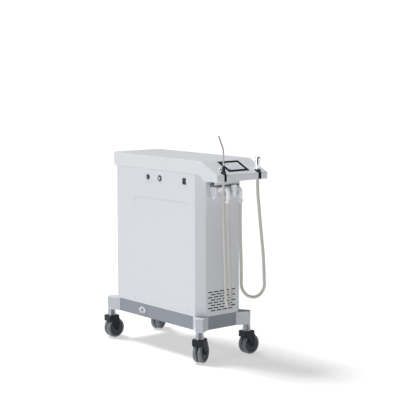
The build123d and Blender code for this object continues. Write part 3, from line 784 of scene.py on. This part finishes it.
@dataclass
class Base:
    """Rail frame, caster sockets and the round socket in the near rail."""

    edge: float = 1.6

    def build(self) -> None:
        """Dresses the base."""
        dress("base_rails", Coat.BASE, self.edge, 3)
        dress("base_outriggers", Coat.OUTRIGGER, self.edge, 3)
        dress("leg_spigots", Coat.SPIGOT, 0.8)
        dress("foot_switch_socket", Coat.SOCKET, 0.7)


# ------------------------------------------------------------------ casters
@dataclass
class Caster:
    """One twin-wheel caster: its two wheels are rebuilt with tread, dish and hub."""

    name: str
    radius: float = 57 * MM
    width: float = 23 * MM
    crown: float = 5.2 * MM
    shoulder: float = 0.3 * MM
    rim_depth: float = 2.2 * MM
    bore_share: float = 0.09
    rim_share: float = 0.79
    tyre_steps: int = 96
    hub_steps: int = 72

    def tread_outline(self) -> list[tuple[float, float]]:
        """Outline of the tyre.

        Returns:
            (axial, radius) points from the inner to the outer side.
        """
        r, w = self.radius, self.width
        arc = [
            (w / 2 + (w / 2 - self.shoulder) * math.sin(a), r - self.crown * (1 - math.cos(a)))
            for a in [math.radians(d) for d in range(-84, 85, 12)]
        ]
        return [(0.9 * MM, r * 0.78), *arc, (w - 0.7 * MM, r * 0.80), (w - 2.4 * MM, r * 0.77)]

    def hub_outline(self) -> list[tuple[float, float]]:
        """Closed outline of the disc, its dish and its boss.

        Returns:
            (axial, radius) points, up the inner side and back down the outer one.
        """
        r, w = self.radius, self.width
        bore, rim = r * self.bore_share, r * self.rim_share
        face = w - self.rim_depth
        inner = [(0.3 * MM, bore), (0.3 * MM, r * 0.24), (1.6 * MM, r * 0.27), (1.6 * MM, rim)]
        dish = [(face, rim), (face - 1.2 * MM, r * 0.72)]
        dish += [(face - 2.0 * MM, r * 0.50), (face - 1.2 * MM, r * 0.36)]
        boss = [(w - 0.4 * MM, r * 0.31), (w - 0.1 * MM, r * 0.26), (w - 0.1 * MM, bore), (0.3 * MM, bore)]
        return inner + dish + boss

    def wheel(self, side: str) -> None:
        """Builds one wheel.

        Args:
            side: inner or outer.
        """
        body = f"wheel_{side}_{self.name}"
        roll = joint(f"roll_{side}_{self.name}")
        outward = Vector(roll["axis"]) * (1 if side == "outer" else -1)
        low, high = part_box(body)
        centre = (low + high) / 2
        start = centre - outward * self.width / 2
        place = Maker.axis(start, outward)
        mesh = bmesh.new()
        Maker.lathe(mesh, self.tread_outline(), place, self.tyre_steps)
        tyre = Maker.finish(f"tyre_{side}_{self.name}", mesh, Coat.TREAD)
        settle(tyre, body, "wheel_rubber", body)
        mesh = bmesh.new()
        Maker.lathe(mesh, self.hub_outline(), place, self.hub_steps)
        settle(Maker.finish(f"hub_{side}_{self.name}", mesh, Coat.HUB), body, "wheel_rubber")

    def build(self) -> None:
        """Builds both wheels and dresses the fork and pedal."""
        for side in ("inner", "outer"):
            self.wheel(side)
        dress(f"fork_{self.name}", Coat.FORK, 0.8, 2, clamp=True)
        pedal = f"brake_pedal_{self.name}"
        if pedal in frame["nodes"]:
            dress(pedal, Coat.PEDAL, 0.8)


# ------------------------------------------------------------------ console
@dataclass
class Console:
    """Touch screen and the two instrument holders, on a face that falls by drop over run."""

    drop: float = 69.0
    run: float = 144.0
    display: tuple[float, float] = (0.119, 0.078)

    def build(self) -> None:
        """Dresses the console's pieces and lights the screen."""
        dress("screen_bezel", Coat.GLASS, 0.5)
        dress("holder_inserts", Coat.BLACK, 0.3)
        low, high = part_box("display_glass")
        centre = (low + high) / 2
        slope = math.atan2(self.drop, self.run)
        screen = LitScreen("lit_screen", tuple(centre), slope, self.display).build()
        glass = frame["nodes"]["display_glass"]
        glass.data.materials.clear()
        glass.data.materials.append(screen)


# ------------------------------------------------------------------ manifold
@dataclass
class Manifold:
    """Hose manifold under the console: block, seal, lid, elbows, strainer, knob and plug."""

    nut_ribs: int = 20
    nut_height: float = 15 * MM
    nut_radius: float = 14.2 * MM
    nut_setback: float = 13 * MM
    nut_steps: int = 160
    grip_depth: float = 0.5 * MM

    def nut(self, node: str) -> None:
        """Ribbed collar nut where a hose meets its elbow.

        Args:
            node: The elbow's node name.
        """
        low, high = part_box(node)
        centre = Vector((high.x - self.nut_setback, (low.y + high.y) / 2, low.z))
        h, r = self.nut_height, self.nut_radius
        bore = r * 0.78
        outline = [(0, bore), (0, r * 0.9), (0.8 * MM, r), (h - 2.5 * MM, r), (h, r * 0.88), (h, bore)]

        def ribbed(axial: float, radius: float, turn: float) -> float:
            """Radius with shallow grips where the nut is widest."""
            grips = self.grip_depth if radius >= r else 0.0
            return radius - grips * (0.5 + 0.5 * math.cos(self.nut_ribs * turn)) ** 2

        mesh = bmesh.new()
        Maker.lathe(mesh, outline, Matrix.Translation(centre), self.nut_steps, ribbed)
        settle(Maker.finish(f"{node}_nut", mesh, Coat.FITTING), "cabinet", "port_white")

    def build(self) -> None:
        """Dresses the manifold and adds its nuts."""
        # The housing and lid take the darker copy of the white moulding, which is painted shade.
        dress(["manifold_housing", "manifold_lid"], Coat.MANIFOLD, 1.5, 3)
        dress("manifold_gasket", Coat.SEAL, 0.8)
        dress(["thin_hose_elbow", "thick_hose_elbow", "strainer_cup"], Coat.FITTING, 0.8, 3)
        dress(["regulator_knob", "drain_plug"], Coat.FITTING, 0.8, 3)
        for node in ("thin_hose_elbow", "thick_hose_elbow"):
            self.nut(node)


# ------------------------------------------------------------------ hoses
@dataclass
class Hose:
    """A silicone hose that hangs from its elbow and comes back up to its instrument.

    The route is in cabinet millimetres, and the other sizes are in metres.
    """

    name: str
    body: str
    diameter: float
    length: float
    route: list[Triple]
    line_steps: int = 24

    def centreline(self) -> list[Vector]:
        """Draws the smooth line that the route's points steer.

        Returns:
            Its points, from the elbow to the instrument.
        """
        curve = bpy.data.curves.new(f"{self.name}_line", "CURVE")
        curve.dimensions = "3D"
        curve.resolution_u = self.line_steps
        spline = curve.splines.new("NURBS")
        spline.points.add(len(self.route) - 1)
        for point, place in zip(spline.points, self.route):
            point.co = (*at(*place), 1.0)
        spline.order_u = 3
        spline.use_endpoint_u = True
        holder = bpy.data.objects.new(curve.name, curve)
        bpy.context.scene.collection.objects.link(holder)
        bpy.context.view_layer.update()
        line = bpy.data.meshes.new_from_object(holder.evaluated_get(bpy.context.evaluated_depsgraph_get()))
        points = [vertex.co.copy() for vertex in line.vertices]
        bpy.data.objects.remove(holder)
        bpy.data.curves.remove(curve)
        bpy.data.meshes.remove(line)
        return points

    def build(self) -> None:
        """Builds the hose and hangs it between the cabinet and its instrument."""
        path = self.centreline()
        mesh = bmesh.new()
        Maker.tube(mesh, path, self.diameter / 2)
        piece = Maker.finish(f"{self.name}_tube", mesh, Coat.HOSE)
        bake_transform(piece)
        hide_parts(self.name)
        LOG.info("hung %s", self.name)


THIN_ROUTE = [
    (76, 134, 870), (76, 134, 805), (78, 136, 690), (82, 140, 545), (86, 144, 420),
    (87, 144, 345), (101.6, 121.7, 317), (122.3, 90.3, 317), (137, 68, 345),
    (136, 67, 415), (134, 65, 545), (130, 61, 690), (127, 58, 830), (126, 58, 920),
    (126, 58, 995.7),
]
THICK_ROUTE = [
    (76, 222, 870), (75.5, 221.2, 805), (76, 222, 690), (79.2, 227.1, 545), (79.7, 227.9, 455),
    (79.2, 227.1, 392), (99.3, 259.3, 345), (129, 306.8, 343), (148.6, 338.2, 390),
    (146.5, 334.8, 460), (144.9, 332.2, 560), (136.4, 318.7, 715), (129.5, 307.6, 860),
    (126, 302, 928), (126, 302, 995.7),
]


# ------------------------------------------------------------------ instruments
@dataclass
class Cannula:
    """Thin instrument: turned black handle, vent lever and bent steel tube. Sizes in millimetres."""

    shank_radius: float = 9.9
    ring_count: int = 4
    ring_pitch: float = 4.0
    ring_taper: float = 0.75
    first_ring_radius: float = 11.2
    rings_below_top: float = 26.0

    def handle(self) -> None:
        """Turns the handle with its grip rings."""
        low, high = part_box("cannula_handle")
        foot = Vector(((low.x + high.x) / 2, (low.y + high.y) / 2, low.z))
        tall = (high.z - low.z) / MM
        shank = self.shank_radius
        outline = [(0, 0), (0, 8.2), (1, 9.4), (2, shank), (tall - 36, shank)]
        outline += [(tall - 33.9, 10.6), (tall - 33.5, 12.3), (tall - 28.6, 12.4), (tall - 28, 11.4)]
        for ring in range(self.ring_count):
            z = tall - self.rings_below_top + ring * self.ring_pitch
            r = self.first_ring_radius - ring * self.ring_taper
            outline += [(z, r), (z + 1.6, r - 0.1), (z + 2.0, r - 0.9)]
            outline += [(z + 3.2, r - 1.0), (z + 3.6, r - 0.7)]
        outline += [(tall - 8, 6.6), (tall - 3, 5.2), (tall - 0.4, 4.8), (tall, 4.4), (tall, 0)]
        mesh = bmesh.new()
        Maker.lathe(mesh, [(a * MM, r * MM) for a, r in outline], Matrix.Translation(foot), 72)
        settle(Maker.finish("cannula_grip", mesh, Coat.BLACK), "cannula", "black_gloss", "cannula_handle")

    def build(self) -> None:
        """Builds the thin instrument."""
        self.handle()
        dress("cannula_tube", Coat.STEEL, 0.2)
        dress("cannula_vent_lever", Coat.CHROME, 0.2)


@dataclass
class Handpiece:
    """Thick instrument: chrome barrel with a dark slide in its groove, on a black socket.

    slide_turn is in degrees about the barrel, and every length is in metres.
    """

    slide_size: Triple = (3.2 * MM, 6.2 * MM, 34 * MM)
    slide_round: float = 0.8 * MM
    slide_turn: float = -48.0
    slide_below_top: float = 25 * MM
    slide_reach: float = 12 * MM
    rib_size: Triple = (0.9 * MM, 5.4 * MM, 1.1 * MM)
    rib_count: int = 5
    rib_pitch: float = 2.4 * MM
    first_rib: float = 2.0 * MM

    def rings(self) -> None:
        """Turns the two raised rings at the foot of the barrel."""
        low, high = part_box("handpiece_body")
        foot = Vector(((low.x + high.x) / 2, (low.y + high.y) / 2, low.z))
        radius = (high.x - low.x) / 2 / MM
        wide, narrow, sunk = radius + 0.45, radius + 0.25, radius - 0.02
        outline = [(0, radius - 1.2), (0, radius), (1.4, wide), (3.4, wide), (4.4, sunk)]
        outline += [(7.2, sunk), (7.6, narrow), (9.0, narrow), (9.4, sunk)]
        mesh = bmesh.new()
        Maker.lathe(mesh, [(a * MM, r * MM) for a, r in outline], Matrix.Translation(foot), 96)
        settle(Maker.finish("handpiece_ring", mesh, Coat.CHROME), "handpiece", "chrome_plate")

    def slide(self) -> None:
        """Dark slide that sits in the barrel's groove."""
        low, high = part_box("handpiece_body")
        centre = Vector(((low.x + high.x) / 2, (low.y + high.y) / 2, high.z - self.slide_below_top))
        turn = Matrix.Rotation(math.radians(self.slide_turn), 4, "Z")
        mesh = bmesh.new()
        bmesh.ops.create_cube(mesh, size=1.0, matrix=Matrix.Diagonal((*self.slide_size, 1)))
        bmesh.ops.bevel(mesh, geom=mesh.edges[:], offset=self.slide_round, segments=3, affect="EDGES")
        for rib in range(self.rib_count):
            height = rib * self.rib_pitch + self.first_rib
            step = Matrix.Translation((self.slide_size[0] / 2, 0, height))
            bmesh.ops.create_cube(mesh, size=1.0, matrix=step @ Matrix.Diagonal((*self.rib_size, 1)))
        seat = Matrix.Translation(centre) @ turn @ Matrix.Translation((self.slide_reach, 0, 0))
        bmesh.ops.transform(mesh, verts=mesh.verts, matrix=seat)
        settle(Maker.finish("handpiece_slide", mesh, Coat.BLACK), "handpiece", "black_gloss")

    def build(self) -> None:
        """Builds the thick instrument."""
        dress("handpiece_body", Coat.CHROME, 0.4, 3)
        dress("handpiece_collar", Coat.BLACK, 0.6)
        self.rings()
        self.slide()


# ------------------------------------------------------------------ controls and fasteners
@dataclass
class Controls:
    """Push button, key switch and mains rocker on the near side."""

    def button_ring(self) -> None:
        """Turns the raised metal ring on the button's face."""
        low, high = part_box("power_button")
        centre = Vector(((low.x + high.x) / 2, low.y, (low.z + high.z) / 2))
        mesh = bmesh.new()
        outline = [(-0.4, 5.0), (0.3, 5.0), (0.45, 5.4), (0.45, 6.2), (0.3, 6.6), (-0.4, 6.6)]
        Maker.lathe(mesh, [(a * MM, r * MM) for a, r in outline], Maker.axis(centre, (0, -1, 0)), 64)
        settle(Maker.finish("power_button_ring", mesh, Coat.ZINC), "power_button", "zinc")

    def build(self) -> None:
        """Builds the controls."""
        dress("control_bezels", Coat.BLACK, 0.5)
        dress("power_button", Coat.BLACK, 0.3)
        dress("key_barrel", Coat.KEY, 0.3)
        dress("rocker_paddle", Coat.BLACK, 0.5)
        self.button_ring()


@dataclass
class Screws:
    """Round-head screws with a cross recess, in place of each plain CAD head."""

    radius: float = 4 * MM
    height: float = 1.6 * MM
    steps: int = 48
    seed: int = 7

    def centres(self) -> list[tuple[Vector, Vector]]:
        """Splits the CAD heads into single ones.

        Returns:
            The foot and the outward direction of each head, in a fixed order.
        """
        mesh = bmesh.new()
        mesh.from_mesh(frame["nodes"]["screw_heads"].data)
        bmesh.ops.remove_doubles(mesh, verts=mesh.verts, dist=1e-6)
        left = set(mesh.verts)
        found = []
        while left:
            pile, island = [left.pop()], []
            while pile:
                vertex = pile.pop()
                island.append(vertex)
                for edge in vertex.link_edges:
                    other = edge.other_vert(vertex)
                    if other in left:
                        left.remove(other)
                        pile.append(other)
            found.append(self.head_frame([vertex.co.copy() for vertex in island]))
        mesh.free()
        return sorted(found, key=lambda pair: tuple(round(c, 5) for c in pair[0]))

    def head_frame(self, points: list[Vector]) -> tuple[Vector, Vector]:
        """Finds how one head stands.

        Args:
            points: The corners of its CAD shape.

        Returns:
            Its foot and its outward direction, which is the head's thinnest way.
        """
        low = Vector([min(p[i] for p in points) for i in range(3)])
        high = Vector([max(p[i] for p in points) for i in range(3)])
        thin = min(range(3), key=lambda i: high[i] - low[i])
        middle = (CAD_LOW + CAD_HIGH) / 2
        sign = 1 if low[thin] > middle[thin] else -1
        outward = Vector([sign if i == thin else 0 for i in range(3)])
        foot = (low + high) / 2 - outward * (high[thin] - low[thin]) / 2
        return foot, outward

    def build(self) -> None:
        """Builds all the heads as one piece."""
        mesh = bmesh.new()
        r, h = self.radius, self.height
        lip = (h * 0.95, r * 0.42)
        dome = [(0, r), (h * 0.25, r), (h * 0.62, r * 0.86), (h * 0.88, r * 0.6), lip]
        well = [lip, (h * 0.2, r * 0.2), (h * 0.15, 0)]

        def cross(axial: float, radius: float, turn: float) -> float:
            """Radius of the cross recess."""
            return radius * (0.62 + 0.38 * abs(math.cos(2 * turn)) ** 3)

        def head(axial: float, radius: float, turn: float) -> float:
            """Radius of the round head, which meets the recess at the lip."""
            return cross(axial, radius, turn) if axial >= lip[0] else radius

        dice = random.Random(self.seed)
        for foot, outward in self.centres():
            place = Maker.axis(foot, outward) @ Matrix.Rotation(dice.uniform(0, math.tau), 4, "Z")
            Maker.lathe(mesh, dome, place, self.steps, head)
            Maker.lathe(mesh, well, place, self.steps, cross)
        settle(Maker.finish("cover_screws", mesh, Coat.ZINC), "cabinet", "zinc", "screw_heads")


# ------------------------------------------------------------------ studio
@dataclass(frozen=True)
class Lamp:
    """A soft rectangular light: place and size in metres, power in watts."""

    name: str
    place: Triple
    size: tuple[float, float]
    power: float
    gloss_only: bool = False


@dataclass
class Studio:
    """Floor, lights and camera.

    The eye is in cabinet coordinates. It, the lens and the sensor are in millimetres, angles are in
    degrees, and every other size or place is in metres.
    """

    eye: Triple = (5103.45, -4194.32, 1679.07)
    azimuth: float = 50.58
    tilt: float = 6.8
    lens: float = 111.7
    sensor: float = 36.0
    clip: tuple[float, float] = (0.1, 100.0)
    aim: Triple = (0.0, 0.0, 0.7)
    floor_reach: float = 30.0
    floor_tones: tuple[float, float] = (0.49, 0.51)
    floor_glow: float = 0.52
    backdrop: float = 1.05
    ambient: float = 0.16
    sun_way: Triple = (-0.52, -0.13, 0.92)
    sun_strength: float = 3.6
    sun_softness: float = 20.0
    lamps: tuple[Lamp, ...] = (
        Lamp("strip", (0.5, -4.6, 1.9), (0.9, 3.0), 42),
        Lamp("gloss", (-1.0, -4.4, 2.2), (1.3, 3.0), 130, gloss_only=True),
    )

    def camera(self) -> None:
        """Places the camera."""
        data = bpy.data.cameras.new("camera")
        data.lens = self.lens
        data.sensor_width = self.sensor
        data.clip_start, data.clip_end = self.clip
        view = bpy.data.objects.new("camera", data)
        a, t = math.radians(self.azimuth), math.radians(self.tilt)
        ahead = Vector((-math.sin(a) * math.cos(t), math.cos(a) * math.cos(t), -math.sin(t)))
        view.location = at(*self.eye)
        view.rotation_mode = "QUATERNION"
        view.rotation_quaternion = ahead.to_track_quat("-Z", "Y")
        bpy.context.scene.collection.objects.link(view)
        bpy.context.scene.camera = view

    def floor(self) -> None:
        """Flat pale floor that reaches well past the picture and glows a little."""
        mesh = bmesh.new()
        bmesh.ops.create_grid(mesh, x_segments=1, y_segments=1, size=self.floor_reach)
        graph = Graph.material("pale_floor")
        dark, light = ((tone, tone, tone) for tone in self.floor_tones)
        finish = graph.surface({
            "Base Color": graph.tint(graph.noise(0.8), dark, light),
            "Roughness": 0.6,
            "Specular IOR Level": 0.1,
            "Emission Color": (1.0, 1.0, 1.0),
            "Emission Strength": self.floor_glow,
        })
        data = bpy.data.meshes.new("floor")
        mesh.to_mesh(data)
        mesh.free()
        data.materials.append(finish)
        ground = bpy.data.objects.new("floor", data)
        bpy.context.scene.collection.objects.link(ground)

    def light(self, lamp: Lamp) -> None:
        """Adds one lamp that faces the cart.

        Args:
            lamp: Its place, size and power.
        """
        data = bpy.data.lights.new(lamp.name, "AREA")
        data.shape = "RECTANGLE"
        data.size, data.size_y = lamp.size
        data.energy = lamp.power
        made = bpy.data.objects.new(lamp.name, data)
        made.location = lamp.place
        made.rotation_mode = "QUATERNION"
        made.rotation_quaternion = (Vector(self.aim) - Vector(lamp.place)).to_track_quat("-Z", "Y")
        made.visible_camera = False
        made.visible_diffuse = not lamp.gloss_only
        bpy.context.scene.collection.objects.link(made)

    def sun(self) -> None:
        """Adds the even key light, a wide soft disc far away."""
        data = bpy.data.lights.new("key", "SUN")
        data.energy = self.sun_strength
        data.angle = math.radians(self.sun_softness)
        made = bpy.data.objects.new("key", data)
        made.rotation_mode = "QUATERNION"
        made.rotation_quaternion = (-Vector(self.sun_way)).to_track_quat("-Z", "Y")
        bpy.context.scene.collection.objects.link(made)

    def sky(self) -> None:
        """White backdrop that the camera sees brighter than it lights the cart."""
        world = bpy.data.worlds.new("studio")
        graph = Graph(world)
        seen = graph.node("ShaderNodeLightPath", output="Is Camera Ray")
        level = seen * (self.backdrop - self.ambient) + self.ambient
        values = {"Color": (1.0, 1.0, 1.0), "Strength": level}
        graph.close("ShaderNodeOutputWorld", graph.node("ShaderNodeBackground", values=values))
        bpy.context.scene.world = world

    def build(self) -> None:
        """Sets the studio up."""
        self.camera()
        self.floor()
        self.sky()
        self.sun()
        for lamp in self.lamps:
            self.light(lamp)
        bpy.context.scene.view_settings.view_transform = "Standard"


def main() -> None:
    """Builds the cart piece by piece."""
    logging.basicConfig(level=logging.INFO, format="%(name)s: %(message)s")
    Studio().build()
    parts = [
        Cabinet(),
        Base(),
        *[Caster(name) for name in ("near_front", "far_front", "near_rear", "far_rear")],
        Console(),
        Manifold(),
        Hose("thin_hose", "cannula", 13 * MM, 1.284, THIN_ROUTE),
        Hose("thick_hose", "handpiece", 17 * MM, 1.250, THICK_ROUTE),
        Cannula(),
        Handpiece(),
        Controls(),
        Screws(),
    ]
    for part in parts:
        part.build()
        LOG.info("finished %s", type(part).__name__)


if __name__ == "__main__":
    main()
